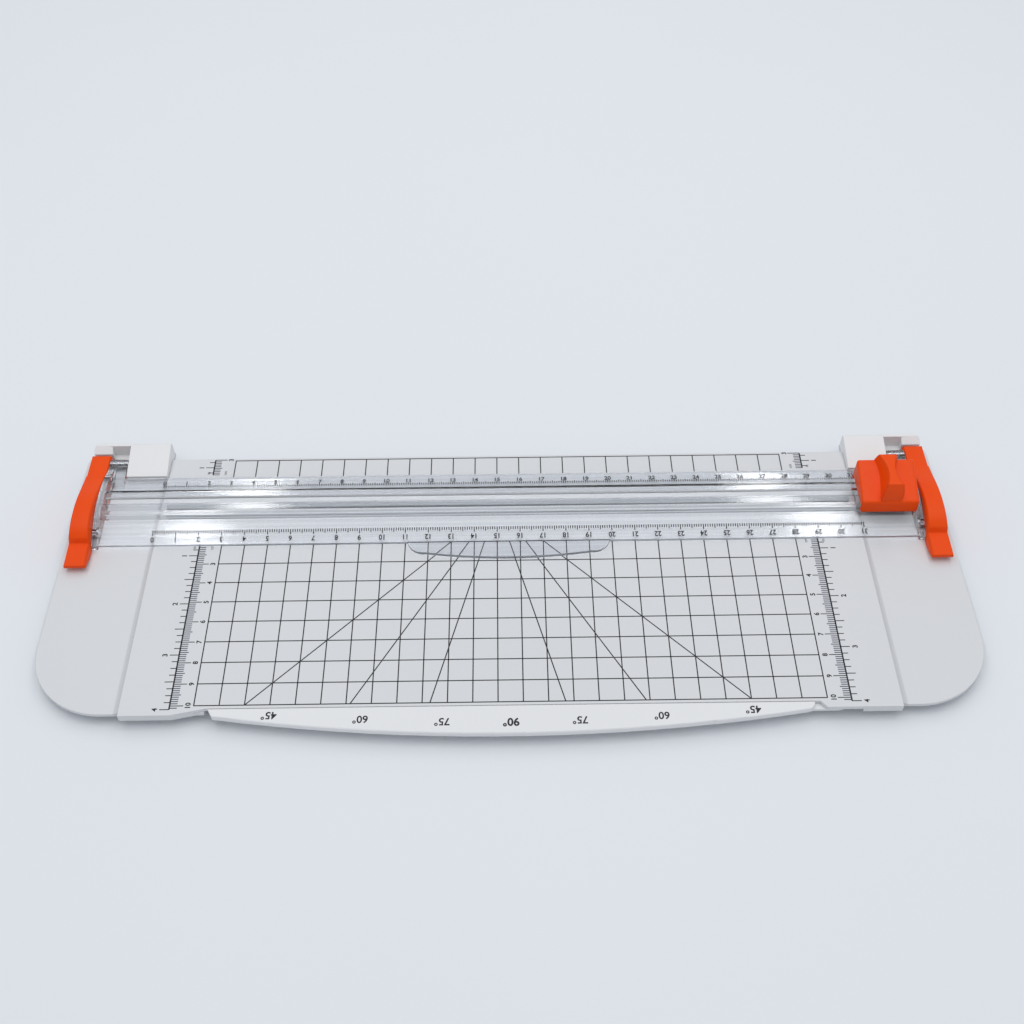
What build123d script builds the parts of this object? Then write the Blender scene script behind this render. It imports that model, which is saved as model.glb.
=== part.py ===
"""Rotary paper trimmer for A4: a flat board, a clear rail hinged at the rear, and a knob that slides on it.

Millimetres. +X runs along the cut, +Y to the rear, +Z up, and the desk is at z = 0. The origin is the middle
of the plan. Nearly every size is measured from the cut line, so sketches stand on planes through it.
"""

import os

from build123d import *

os.makedirs("parts", exist_ok=True)

# --- plan of the board, measured from the cut line (y) and the middle (x) ---
front_reach = 114.0
rear_reach = 36.4
cut_y = (front_reach - rear_reach) / 2
half_width = 193.8
table_half = 154.5
table_rear = 31.0
seam_y = -101.4
lip_y = -104.3
wing_front = -102.5
front_radius = 31.5
rear_radius = 7.5

# --- heights above the desk ---
table_top = 8.0
wing_top = 6.3
wing_under = 4.8
rim_under = 4.4
skin = 1.7
skin_under = table_top - skin
gap = 0.3

# --- pockets under the table, feet, screws from below and the cutting strip ---
pocket_pitch = 38.2
pocket_wide = 36.4
pocket_count = 8
front_pocket_y = -44.0
front_pocket_pitch = 36.2
front_pocket_long = 34.4
rear_pocket_y = 18.0
rear_pocket_long = 22.0
arm_pocket = (-121.0, 139.0, -110.0, -82.6)
foot_radius = 6.0
wing_feet = ((-168.0, -72.0), (168.0, -72.0), (-172.0, 14.0), (172.0, 14.0))
table_feet = ((0, -58.0), (0, rear_pocket_y))
block_screw_x = (160.0, 186.0)
block_screw_y = 33.4
strip_half = 151.8
strip_width = 5.8
strip_deep = 2.15
strip_clearance = 0.2
blade_groove_width = 0.9
blade_groove_deep = 1.3

# --- rail hinge ---
hinge_y = 26.5
hinge_z = 9.2
pin_radius = 1.5
running = 0.05
lug_radius = 2.6
block_outer = 173.0
slot_outer = 181.4
block_front = 18.5
post_front = 31.5
pin_inner = 159.0
pin_outer = 188.5
wall_front = 34.4
post_top = table_top + 5.6
post_outer = 189.8
post_radius = 3.4

# --- clear rail, heights from the table ---
rail_front = -20.5
rail_rear = 18.0
channel_top = 7.6
channel_roof = 6.0
slot_half = 1.9
slot_end = 178.2
plate_inner = 178.9
plate_outer = 181.4
lip_half = 44.0
lip_reach = 8.8

# --- end grips ---
grip_inner = 181.5
grip_outer = 191.0
grip_front = -32.0
grip_rear = 30.2
grip_under = wing_top + gap
grip_bevel = 0.6
grip_top = table_top + 9.7
grip_lean = 1.45
grip_screw_places = ((-13.0, 9.2), (17.0, 9.4))

# --- carriage and cutter, parked at the right end ---
park_x = 166.0
knob_half = 12.5
knob_front = -11.0
knob_rear = 9.4
knob_wall = 1.2
knob_under = table_top + 7.0
knob_top_front = table_top + 12.5
knob_top_rear = table_top + 18.8
fin_top = table_top + 22.6
press = 1.6
saddle_under = table_top + channel_top + gap
saddle_top = saddle_under + 1.0
saddle_half_x = 11.0
saddle_half_y = 7.2
neck_inner = 8.8
neck_outer = 11.0
neck_half_y = 1.6
shoe_under = table_top + 1.4
shoe_top = table_top + 5.7
shoe_screw_x = (neck_inner + neck_outer) / 2
blade_slot_width = 3.5
spring_y = 4.9
spring_height = 3.2
holder_pin_x = 6.3
holder_pin_z = table_top + 11.6
holder_pin_radius = 0.6

# --- blade ---
blade_radius = 6.5
blade_thick = 0.35
hub_z = table_top + 7.2
axle_radius = 1.5

# --- swing-out arm ---
arm_left = -119.4
arm_right = 120.0
arm_under = 5.0
pivot_x = 128.6
pivot_y = -96.0
pivot_radius = 2.5
tongue_top = 6.0
tongue_under = 4.7
tongue_rear = -84.0
tongue_front = -104.0
screw_slot = 0.6


def level(z):
    """A horizontal plane at height z, with its origin on the cut line."""
    return Plane(origin=(0, cut_y, z))


def station(x):
    """An upright plane across the board at x. Its sketch axes are y from the cut line, and z."""
    return Plane(origin=(x, cut_y, 0), x_dir=(0, 1, 0), z_dir=(1, 0, 0))


def facing(y):
    """An upright plane along the board at y from the cut line. Its sketch axes are x and z. It faces -Y."""
    return Plane(origin=(0, cut_y + y, 0), x_dir=(1, 0, 0), z_dir=(0, -1, 0))


# --- base shell: wings, raised table, pockets below, groove and pivot post above ---
with BuildPart() as base_shell:
    # the wings are one flat plate with large front corners
    with BuildSketch(level(wing_under)):
        with BuildLine():
            l1 = Line((-half_width + rear_radius, rear_reach), (half_width - rear_radius, rear_reach))
            a1 = RadiusArc(l1 @ 1, (half_width, rear_reach - rear_radius), rear_radius)
            l2 = Line(a1 @ 1, (half_width, wing_front + front_radius))
            a2 = RadiusArc(l2 @ 1, (half_width - front_radius, wing_front), front_radius)
            l3 = Line(a2 @ 1, (-half_width + front_radius, wing_front))
            a3 = RadiusArc(l3 @ 1, (-half_width, wing_front + front_radius), front_radius)
            l4 = Line(a3 @ 1, (-half_width, rear_reach - rear_radius))
            a4 = RadiusArc(l4 @ 1, l1 @ 0, rear_radius)
        make_face()
    extrude(amount=wing_top - wing_under)
    # between the corner blocks the rear edge is set in
    with BuildSketch(level(wing_under)):
        with Locations((0, (table_rear + rear_reach) / 2 + 1)):
            Rectangle(2 * table_half, rear_reach - table_rear + 2)
    extrude(amount=wing_top - wing_under, mode=Mode.SUBTRACT)
    # the table, with the seam for the arm and a finger notch at its left end
    with BuildSketch(level(rim_under)):
        Polygon(
            (-table_half, table_rear),
            (table_half, table_rear),
            (table_half, lip_y),
            (124.6, lip_y),
            (122.0, seam_y),
            (-120.0, seam_y),
            (-134.0, lip_y),
            (-table_half, lip_y),
            align=None,
        )
    extrude(amount=table_top - rim_under)
    fillet(base_shell.edges().filter_by(Axis.X).group_by(Axis.Z)[-1].sort_by(Axis.Y)[-1], 0.8)
    # a hollow slope joins the table's sides to the wings
    for side in (-1, 1):
        with BuildSketch(facing(block_front)):
            with BuildLine():
                drop = Line((side * (table_half - 1), table_top), (side * table_half, table_top))
                slope = ThreePointArc(
                    drop @ 1,
                    (side * (table_half + 0.95), wing_top + 0.65),
                    (side * (table_half + 2.3), wing_top),
                )
                foot = Line(slope @ 1, (side * (table_half - 1), wing_top))
                Line(foot @ 1, drop @ 0)
            make_face()
        extrude(amount=block_front - wing_front)
    # pockets below leave ribs between them, and a solid bar under the cutting strip
    with BuildSketch(level(rim_under)):
        with Locations((0, front_pocket_y)):
            with GridLocations(pocket_pitch, front_pocket_pitch, pocket_count, 2):
                Rectangle(pocket_wide, front_pocket_long)
        with Locations((0, rear_pocket_y)):
            with GridLocations(pocket_pitch, 1, pocket_count, 1):
                Rectangle(pocket_wide, rear_pocket_long)
    extrude(amount=skin_under - rim_under, mode=Mode.SUBTRACT)
    # the flat pocket in which the arm's tongue swings, open to the front
    left, right, front, rear = arm_pocket
    with BuildSketch(level(rim_under)):
        with Locations(((left + right) / 2, (front + rear) / 2)):
            Rectangle(right - left, rear - front)
    extrude(amount=skin_under - rim_under, mode=Mode.SUBTRACT)
    # pads for the two middle feet
    with BuildSketch(level(rim_under)):
        with Locations(*table_feet):
            Circle(foot_radius + 1.5)
    extrude(amount=skin_under - rim_under)
    # groove for the cutting strip
    with BuildSketch(level(table_top)):
        Rectangle(2 * (strip_half + strip_clearance), strip_width + strip_clearance)
    extrude(amount=-(strip_deep + 0.05), mode=Mode.SUBTRACT)
    # pivot post of the arm, with a pilot hole for its screw
    with BuildSketch(level(skin_under)):
        with Locations((pivot_x, pivot_y)):
            Circle(pivot_radius)
    extrude(amount=skin_under - tongue_under + 0.4, dir=(0, 0, -1))
    with BuildSketch(level(tongue_under - 0.4)):
        with Locations((pivot_x, pivot_y)):
            Circle(0.9)
    extrude(amount=2.9, mode=Mode.SUBTRACT)
    # screw holes for the hinge blocks
    with BuildSketch(level(wing_under)):
        with Locations(*[(side * x, block_screw_y) for side in (-1, 1) for x in block_screw_x]):
            Circle(1.6)
    extrude(amount=wing_top - wing_under, mode=Mode.SUBTRACT)
base_shell.part.label = "base_shell"
export_step(base_shell.part, "parts/base_shell.step")


# --- cutting strip: let in flush, with a fine groove for the blade ---
with BuildPart() as cutting_strip:
    with BuildSketch(level(table_top - strip_deep)):
        Rectangle(2 * strip_half, strip_width)
    extrude(amount=strip_deep)
    with BuildSketch(level(table_top)):
        Rectangle(2 * strip_half, blade_groove_width)
    extrude(amount=-blade_groove_deep, mode=Mode.SUBTRACT)
cutting_strip.part.label = "cutting_strip"
export_step(cutting_strip.part, "parts/cutting_strip.step")


# --- hinge blocks: a wedge, a slot for the rail's lug and a post behind the grip ---
def hinge_block(side, name):
    with BuildPart() as block:
        # the wedge between the table and the slot
        with BuildSketch(station(side * (table_half + 0.1))):
            Polygon(
                (block_front, wing_top),
                (block_front, table_top + 2.4),
                (rear_reach - 1.6, table_top + 5.9),
                (rear_reach - gap, table_top + 5.1),
                (rear_reach - gap, wing_top),
                align=None,
            )
        extrude(amount=block_outer - table_half - 0.1, dir=(side, 0, 0))
        # the post behind the grip, with its outer corner rounded
        with BuildSketch(level(wing_top)):
            with Locations((side * (slot_outer + post_outer) / 2, (post_front + rear_reach - gap) / 2)):
                post = Rectangle(post_outer - slot_outer, rear_reach - gap - post_front)
            fillet(post.vertices().sort_by(lambda v: side * v.X + v.Y)[-1], post_radius)
        extrude(amount=post_top - wing_top)
        # the post's top slopes down to the grip
        with BuildSketch(station(side * slot_outer)):
            Polygon(
                (post_front, table_top + 3.3),
                (rear_reach - 1.6, post_top),
                (post_front, post_top),
                align=None,
            )
        extrude(amount=post_outer - slot_outer, dir=(side, 0, 0), mode=Mode.SUBTRACT)
        # the thin wall and the low floor behind the slot, which tie the post to the wedge
        for front, height in ((wall_front, post_top - wing_top), (post_front, 1.2)):
            with BuildSketch(level(wing_top)):
                with Locations((side * (block_outer + slot_outer) / 2, (front + rear_reach - gap) / 2)):
                    Rectangle(slot_outer - block_outer + 2, rear_reach - gap - front)
            extrude(amount=height)
        fillet(block.edges().filter_by(Axis.X).group_by(Axis.Z)[-1], 0.4)
        # the pin's bearing
        with BuildSketch(station(side * (block_outer + 1))):
            with Locations((hinge_y, hinge_z)):
                Circle(pin_radius + running)
        extrude(amount=block_outer + 1 - pin_inner + 0.5, dir=(-side, 0, 0), mode=Mode.SUBTRACT)
        # pilot holes for the screws from below
        with BuildSketch(level(wing_top)):
            with Locations(*[(side * x, block_screw_y) for x in block_screw_x]):
                Circle(1.1)
        extrude(amount=4.0, mode=Mode.SUBTRACT)
    block.part.label = name
    return block


left_hinge_block = hinge_block(-1, "left_hinge_block")
export_step(left_hinge_block.part, "parts/left_hinge_block.step")
right_hinge_block = hinge_block(1, "right_hinge_block")
export_step(right_hinge_block.part, "parts/right_hinge_block.step")


# --- screws, feet and the arm's pivot fasteners ---
with BuildPart() as hinge_block_screws:
    screw_places = [(side * x, block_screw_y) for side in (-1, 1) for x in block_screw_x]
    with BuildSketch(level(wing_under)):
        with Locations(*screw_places):
            Circle(2.2)
    extrude(amount=-1.2)
    with BuildSketch(level(wing_under)):
        with Locations(*screw_places):
            Circle(1.05)
    extrude(amount=4.8)
    with BuildSketch(level(wing_under - 1.2)):
        with Locations(*screw_places):
            Rectangle(2.8, screw_slot)
            Rectangle(screw_slot, 2.8)
    extrude(amount=0.6, mode=Mode.SUBTRACT)
hinge_block_screws.part.label = "hinge_block_screws"
export_step(hinge_block_screws.part, "parts/hinge_block_screws.step")

with BuildPart() as rubber_feet:
    with BuildSketch(level(0)):
        with Locations(*wing_feet):
            Circle(foot_radius)
    extrude(amount=wing_under)
    with BuildSketch(level(0)):
        with Locations(*table_feet):
            Circle(foot_radius)
    extrude(amount=rim_under)
    chamfer(rubber_feet.edges().group_by(Axis.Z)[0], 0.6)
rubber_feet.part.label = "rubber_feet"
export_step(rubber_feet.part, "parts/rubber_feet.step")

with BuildPart() as arm_pivot_washer:
    with BuildSketch(level(tongue_under - 0.4)):
        with Locations((pivot_x, pivot_y)):
            Circle(5.0)
            Circle(0.9, mode=Mode.SUBTRACT)
    extrude(amount=-0.6)
arm_pivot_washer.part.label = "arm_pivot_washer"
export_step(arm_pivot_washer.part, "parts/arm_pivot_washer.step")

with BuildPart() as arm_pivot_screw:
    with BuildSketch(level(tongue_under - 1.0)):
        with Locations((pivot_x, pivot_y)):
            Circle(2.4)
    extrude(amount=-1.3)
    with BuildSketch(level(tongue_under - 1.0)):
        with Locations((pivot_x, pivot_y)):
            Circle(0.85)
    extrude(amount=3.0)
    with BuildSketch(level(tongue_under - 2.3)):
        with Locations((pivot_x, pivot_y)):
            Rectangle(2.8, screw_slot)
            Rectangle(screw_slot, 2.8)
    extrude(amount=0.7, mode=Mode.SUBTRACT)
arm_pivot_screw.part.label = "arm_pivot_screw"
export_step(arm_pivot_screw.part, "parts/arm_pivot_screw.step")


# --- swing-out arm: a bowed strip in front of the seam, on a thin tongue under the table ---
with BuildPart() as swing_ruler_arm:
    with BuildSketch(level(arm_under)):
        with BuildLine():
            rear = Line((arm_left, seam_y - 0.25), (arm_right, seam_y - 0.25))
            right = RadiusArc(rear @ 1, (arm_right - 3.0, -105.0), 3.4)
            bow = ThreePointArc(right @ 1, (0, -front_reach), (arm_left + 2.0, -105.0))
            Line(bow @ 1, rear @ 0)
        make_face()
    extrude(amount=table_top - arm_under)
    fillet(swing_ruler_arm.edges().filter_by(GeomType.CIRCLE).sort_by(SortBy.LENGTH)[-2:], 0.5)
    with BuildSketch(level(tongue_under)):
        with Locations(((arm_left + 3.4 + pivot_x) / 2, (tongue_rear + tongue_front) / 2)):
            Rectangle(pivot_x - arm_left - 3.4, tongue_rear - tongue_front)
        with Locations((pivot_x, pivot_y)):
            Circle(8.0)
    extrude(amount=tongue_top - tongue_under)
    with BuildSketch(level(tongue_under)):
        with Locations((pivot_x, pivot_y)):
            Circle(pivot_radius + running)
    extrude(amount=tongue_top - tongue_under, mode=Mode.SUBTRACT)
swing_ruler_arm.part.label = "swing_ruler_arm"
export_step(swing_ruler_arm.part, "parts/swing_ruler_arm.step")


# --- clear rail: one section along the board, a slot in its roof, end plates, hinge lugs and finger lip ---
with BuildPart() as rail_guard:
    with BuildSketch(station(-plate_inner)):
        Polygon(
            (rail_rear, table_top + 1.7),
            (10.4, table_top + 2.0),
            (5.6, table_top + channel_top),
            (-6.0, table_top + channel_top),
            (-8.2, table_top + 6.9),
            (-9.3, table_top + 5.2),
            (rail_front, table_top + 1.6),
            (rail_front, table_top + 0.5),
            (rail_front + 0.4, table_top + gap),
            (-9.8, table_top + 3.7),
            (-8.0, table_top + 4.6),
            (-7.0, table_top + channel_roof),
            (4.9, table_top + channel_roof),
            (9.6, table_top + gap),
            (rail_rear, table_top + gap),
            align=None,
        )
    extrude(amount=2 * plate_inner)
    with BuildSketch(level(table_top + channel_top + 1)):
        Rectangle(2 * slot_end, 2 * slot_half)
    extrude(amount=-(channel_top - channel_roof + 1.5), mode=Mode.SUBTRACT)
    # the finger lip bows forward in the middle
    with BuildSketch(level(table_top + gap)):
        with BuildLine():
            back = Line((-lip_half, rail_front + 0.6), (lip_half, rail_front + 0.6))
            right = ThreePointArc(
                back @ 1, (lip_half - 1.8, rail_front - 3.6), (lip_half - 8, rail_front - 6.0)
            )
            front = ThreePointArc(
                right @ 1, (0, rail_front - lip_reach), (8 - lip_half, rail_front - 6.0)
            )
            ThreePointArc(front @ 1, (1.8 - lip_half, rail_front - 3.6), back @ 0)
        make_face()
    extrude(amount=1.5)
    for side in (-1, 1):
        # arched end plate
        with BuildSketch(station(side * plate_inner)):
            with BuildLine():
                arch = ThreePointArc(
                    (rail_front, table_top + 0.6), (0, table_top + 7.1), (hinge_y - 5.0, table_top + 3.4)
                )
                down = Polyline(
                    arch @ 1,
                    (hinge_y, hinge_z + lug_radius),
                    (hinge_y, hinge_z - lug_radius),
                    (rail_front, 6.7),
                )
                Line(down @ 1, arch @ 0)
            make_face()
        extrude(amount=plate_outer - plate_inner, dir=(side, 0, 0))
        # hinge lug from the rail's rear strip to the pin
        with BuildSketch(station(side * (block_outer + gap))):
            Polygon(
                (12.0, table_top + gap),
                (12.0, table_top + 1.9),
                (hinge_y, hinge_z + lug_radius),
                (hinge_y, hinge_z - lug_radius),
                align=None,
            )
            with Locations((hinge_y, hinge_z)):
                Circle(lug_radius)
        extrude(amount=plate_outer - block_outer - gap, dir=(side, 0, 0))
        # bore for the pin, and holes for the grip's screws
        with BuildSketch(station(side * plate_outer)):
            with Locations((hinge_y, hinge_z)):
                Circle(pin_radius)
        extrude(amount=20, dir=(-side, 0, 0), mode=Mode.SUBTRACT)
        with BuildSketch(station(side * plate_outer)):
            with Locations(*grip_screw_places):
                Circle(1.25)
        extrude(amount=3.0, dir=(-side, 0, 0), mode=Mode.SUBTRACT)
        with BuildSketch(station(side * (plate_inner + 1.05))):
            with Locations(*grip_screw_places):
                Circle(2.1)
        extrude(amount=1.05, dir=(-side, 0, 0), mode=Mode.SUBTRACT)
rail_guard.part.label = "rail_guard"
export_step(rail_guard.part, "parts/rail_guard.step")


# --- end grips: flat rear, arched middle, flat foot whose tip is lifted for a finger ---
def grip_profile(side, x, drop):
    """The grip's side view at x from the middle, with its upper outline lowered by drop."""
    with BuildSketch(station(side * x)) as profile:
        with BuildLine():
            foot = Polyline(
                (26.5, grip_under),
                (-25.0, grip_under),
                (grip_front, table_top + 0.9),
                (grip_front, table_top + 2.4 - drop),
                (-20.2, table_top + 3.2 - drop),
                (-19.4, table_top + 5.6 - drop),
            )
            arch = Spline(
                foot @ 1,
                (-15.9, table_top + 8.1 - drop),
                (-9.8, grip_top - drop),
                (-1.3, table_top + 9.5 - drop),
                (8.1, table_top + 7.1 - drop),
                (17.0, table_top + 4.7 - drop),
            )
            back = Polyline(
                arch @ 1,
                (17.6, table_top + 3.6 - drop),
                (grip_rear, table_top + 3.5 - drop),
                (29.3, hinge_z - 0.4),
                (28.6, hinge_z - 1.6),
            )
            Line(back @ 1, foot @ 0)
        make_face()
    return profile


def end_grip(side, name):
    with BuildPart() as grip:
        # the inner upper edge is bevelled
        low = grip_profile(side, grip_inner, 1.1)
        full = grip_profile(side, grip_inner + grip_bevel, 0)
        loft([low.sketch, full.sketch])
        extrude(full.sketch, amount=grip_outer - grip_inner - grip_bevel, dir=(side, 0, 0))
        # the outer side leans in towards the top
        lean = Plane(
            origin=(side * grip_outer, 0, grip_under),
            z_dir=(side * (grip_top - grip_under), 0, grip_lean),
        )
        split(bisect_by=lean, keep=Keep.BOTTOM)
        # hollow under the arch
        with BuildSketch(station(side * (grip_inner + 1.8))):
            Polygon(
                (-8.0, grip_under),
                (-8.0, table_top + 7.2),
                (0, table_top + 7.4),
                (12.0, table_top + 3.6),
                (12.0, grip_under),
                align=None,
            )
        extrude(amount=grip_outer - grip_inner - 4.4, dir=(side, 0, 0), mode=Mode.SUBTRACT)
        # bore for the hinge pin and pilot holes for the screws
        with BuildSketch(station(side * grip_inner)):
            with Locations((hinge_y, hinge_z)):
                Circle(pin_radius)
        extrude(amount=pin_outer - grip_inner + 0.4, dir=(side, 0, 0), mode=Mode.SUBTRACT)
        with BuildSketch(station(side * grip_inner)):
            with Locations(*grip_screw_places):
                Circle(1.1)
        extrude(amount=7.4, dir=(side, 0, 0), mode=Mode.SUBTRACT)
    grip.part.label = name
    return grip


left_end_grip = end_grip(-1, "left_end_grip")
export_step(left_end_grip.part, "parts/left_end_grip.step")
right_end_grip = end_grip(1, "right_end_grip")
export_step(right_end_grip.part, "parts/right_end_grip.step")


def hinge_pin(side, name):
    with BuildPart() as pin:
        with BuildSketch(station(side * pin_inner)):
            with Locations((hinge_y, hinge_z)):
                Circle(pin_radius)
        extrude(amount=pin_outer - pin_inner, dir=(side, 0, 0))
        chamfer(pin.edges().filter_by(GeomType.CIRCLE), 0.3)
    pin.part.label = name
    return pin


left_hinge_pin = hinge_pin(-1, "left_hinge_pin")
export_step(left_hinge_pin.part, "parts/left_hinge_pin.step")
right_hinge_pin = hinge_pin(1, "right_hinge_pin")
export_step(right_hinge_pin.part, "parts/right_hinge_pin.step")

with BuildPart() as grip_screws:
    for side in (-1, 1):
        for place in grip_screw_places:
            with BuildSketch(station(side * (plate_inner + 0.05))):
                with Locations(place):
                    Circle(1.9)
                    Rectangle(2.4, 0.5, mode=Mode.SUBTRACT)
            extrude(amount=0.5, dir=(side, 0, 0))
            with BuildSketch(station(side * (plate_inner + 0.55))):
                with Locations(place):
                    Circle(1.9)
            extrude(amount=0.45, dir=(side, 0, 0))
            with BuildSketch(station(side * (plate_inner + 1.0))):
                with Locations(place):
                    Circle(1.05)
            extrude(amount=9.0, dir=(side, 0, 0))
grip_screws.part.label = "grip_screws"
export_step(grip_screws.part, "parts/grip_screws.step")


# --- carriage: saddle above the roof, necks through the slot, shoe in the channel ---
with BuildPart() as slider_frame:
    with BuildSketch(level(saddle_under)):
        with Locations((park_x, 0)):
            Rectangle(2 * saddle_half_x, 2 * saddle_half_y)
    extrude(amount=saddle_top - saddle_under)
    fillet(slider_frame.edges().filter_by(Axis.Z), 1.0)
    with BuildSketch(level(saddle_under)):
        with Locations((park_x, 0)):
            Rectangle(2 * 8.2, blade_slot_width)
    extrude(amount=saddle_top - saddle_under, mode=Mode.SUBTRACT)
    # spigots that hold the springs
    with BuildSketch(level(saddle_top)):
        with Locations((park_x, -spring_y), (park_x, spring_y)):
            Circle(1.1)
    extrude(amount=0.7)
    # necks through the slot
    with BuildSketch(level(saddle_under)):
        with Locations(*[(park_x + side * shoe_screw_x, 0) for side in (-1, 1)]):
            Rectangle(neck_outer - neck_inner, 2 * neck_half_y)
    extrude(amount=-(saddle_under - shoe_top))
    with BuildSketch(level(shoe_top)):
        with Locations(*[(park_x + side * shoe_screw_x, 0) for side in (-1, 1)]):
            Circle(0.6)
    extrude(amount=2.0, mode=Mode.SUBTRACT)
slider_frame.part.label = "slider_frame"
export_step(slider_frame.part, "parts/slider_frame.step")

with BuildPart() as slider_shoe:
    with BuildSketch(level(shoe_under)):
        with Locations((park_x, 0)):
            Rectangle(23.0, 8.0)
    extrude(amount=shoe_top - shoe_under)
    fillet(slider_shoe.edges().filter_by(Axis.Z), 1.2)
    with BuildSketch(level(shoe_under)):
        with Locations((park_x, 0)):
            Rectangle(2 * neck_inner, blade_slot_width)
    extrude(amount=shoe_top - shoe_under, mode=Mode.SUBTRACT)
    underside = Plane((park_x, cut_y, shoe_under), z_dir=(0, 0, -1))
    with Locations(*[underside * Pos(side * shoe_screw_x, 0) for side in (-1, 1)]):
        CounterBoreHole(radius=0.62, counter_bore_radius=1.05, counter_bore_depth=0.9)
slider_shoe.part.label = "slider_shoe"
export_step(slider_shoe.part, "parts/slider_shoe.step")

with BuildPart() as slider_screws:
    with BuildSketch(level(shoe_under + 0.1)):
        with Locations(*[(park_x + side * shoe_screw_x, 0) for side in (-1, 1)]):
            Circle(1.0)
    extrude(amount=0.8)
    with BuildSketch(level(shoe_under + 0.9)):
        with Locations(*[(park_x + side * shoe_screw_x, 0) for side in (-1, 1)]):
            Circle(0.55)
    extrude(amount=5.0)
slider_screws.part.label = "slider_screws"
export_step(slider_screws.part, "parts/slider_screws.step")


def press_spring(y, name):
    wire = 0.2
    turns = 4
    rise = spring_height - 2 * wire - 0.06
    with BuildPart() as spring:
        with BuildLine():
            coil = Helix(
                pitch=rise / turns,
                height=rise,
                radius=1.5,
                center=(park_x, cut_y + y, saddle_top + wire + 0.03),
            )
        with BuildSketch(Plane(origin=coil @ 0, z_dir=coil % 0)):
            Circle(wire)
        sweep(is_frenet=True)
    spring.part.label = name
    return spring


front_press_spring = press_spring(-spring_y, "front_press_spring")
export_step(front_press_spring.part, "parts/front_press_spring.step")
rear_press_spring = press_spring(spring_y, "rear_press_spring")
export_step(rear_press_spring.part, "parts/rear_press_spring.step")


# --- knob: a box that slopes to the front, with a waisted fin, hollow below ---
def fin_outline(z, rear_half, waist_half, front_half, rear, front):
    """The fin's hourglass section at height z."""
    with BuildSketch(level(z)) as outline:
        with BuildLine():
            l1 = Line((park_x - rear_half, rear), (park_x + rear_half, rear))
            middle = (rear + front) / 2
            a1 = ThreePointArc(l1 @ 1, (park_x + waist_half, middle), (park_x + front_half, front))
            l2 = Line(a1 @ 1, (park_x - front_half, front))
            ThreePointArc(l2 @ 1, (park_x - waist_half, middle), l1 @ 0)
        make_face()
    return outline


with BuildPart() as cutter_knob:
    with BuildSketch(station(park_x - knob_half)):
        Polygon(
            (knob_front, knob_under - 0.4),
            (knob_front + 0.5, knob_top_front),
            (knob_rear, knob_top_rear),
            (knob_rear, knob_under),
            (knob_front + 1.5, knob_under),
            align=None,
        )
    extrude(amount=2 * knob_half)
    fillet(cutter_knob.edges().filter_by(lambda e: e.center().Z > knob_under + 0.5), 1.1)
    fin_base = fin_outline(knob_top_front - 0.4, 5.4, 4.7, 4.3, 9.2, -10.2)
    fin_waist = fin_outline(fin_top - 2.4, 4.7, 2.3, 4.0, 8.6, -9.7)
    fin_ridge = fin_outline(fin_top, 3.9, 1.6, 3.4, 8.2, -9.2)
    loft([fin_base.sketch, fin_waist.sketch, fin_ridge.sketch])
    # hollow
    with BuildSketch(station(park_x - knob_half + knob_wall)):
        Polygon(
            (knob_front + 1.5, knob_under - 1),
            (knob_front + 1.8, knob_top_front - 1.6),
            (knob_rear - 1.4, knob_top_rear - 1.7),
            (knob_rear - 1.4, knob_under - 1),
            align=None,
        )
    extrude(amount=2 * (knob_half - knob_wall), mode=Mode.SUBTRACT)
    # the side walls stand clear of the rail when the knob is pressed
    with BuildSketch(facing(knob_rear - 1.4)):
        with Locations((park_x, knob_under)):
            Rectangle(2 * knob_half + 2, 2 * (channel_top + press + gap - 7.0))
    extrude(amount=knob_rear - knob_front - 2.9, mode=Mode.SUBTRACT)
    # room for the blade's top in the fin
    with BuildSketch(level(knob_top_front - 1.6)):
        with Locations((park_x, 0)):
            Rectangle(9.0, 1.2)
    extrude(amount=3.8, mode=Mode.SUBTRACT)
    # ribs that grip the blade holder
    for y, height in ((-2.2, 3.3), (2.2, 4.8)):
        with BuildSketch(level(table_top + 10.6)):
            with Locations((park_x, y)):
                Rectangle(16.4, 1.3)
        extrude(amount=height)
    # flat seats for the springs, on bosses that are cut level where the roof is low
    for y, height in ((-spring_y, 1.3), (spring_y, 4.4)):
        with BuildSketch(level(saddle_top + spring_height)) as seat:
            with Locations((park_x, y)):
                Circle(1.9)
        extrude(seat.sketch, amount=height)
        extrude(seat.sketch, amount=-2.0, mode=Mode.SUBTRACT)
    # bores of the cross pins
    with BuildSketch(facing(3.0)):
        with Locations(*[(park_x + side * holder_pin_x, holder_pin_z) for side in (-1, 1)]):
            Circle(holder_pin_radius)
    extrude(amount=6.0, mode=Mode.SUBTRACT)
cutter_knob.part.label = "cutter_knob"
export_step(cutter_knob.part, "parts/cutter_knob.step")

with BuildPart() as blade_holder:
    with BuildSketch(facing(1.5)):
        with Locations((park_x, (hub_z - 2.6 + table_top + 12.4) / 2)):
            Rectangle(15.8, table_top + 12.4 - hub_z + 2.6)
        with Locations((park_x, saddle_under - 0.95)):
            Rectangle(17.0, 1.5)
    extrude(amount=3.0)
    with BuildSketch(facing(0.35)):
        with Locations((park_x, table_top + 8.0)):
            Rectangle(13.8, 12.0)
    extrude(amount=0.7, mode=Mode.SUBTRACT)
    with BuildSketch(facing(2.0)):
        with Locations((park_x, hub_z)):
            Circle(axle_radius)
        with Locations(*[(park_x + side * holder_pin_x, holder_pin_z) for side in (-1, 1)]):
            Circle(holder_pin_radius)
    extrude(amount=4.0, mode=Mode.SUBTRACT)
blade_holder.part.label = "blade_holder"
export_step(blade_holder.part, "parts/blade_holder.step")

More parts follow.
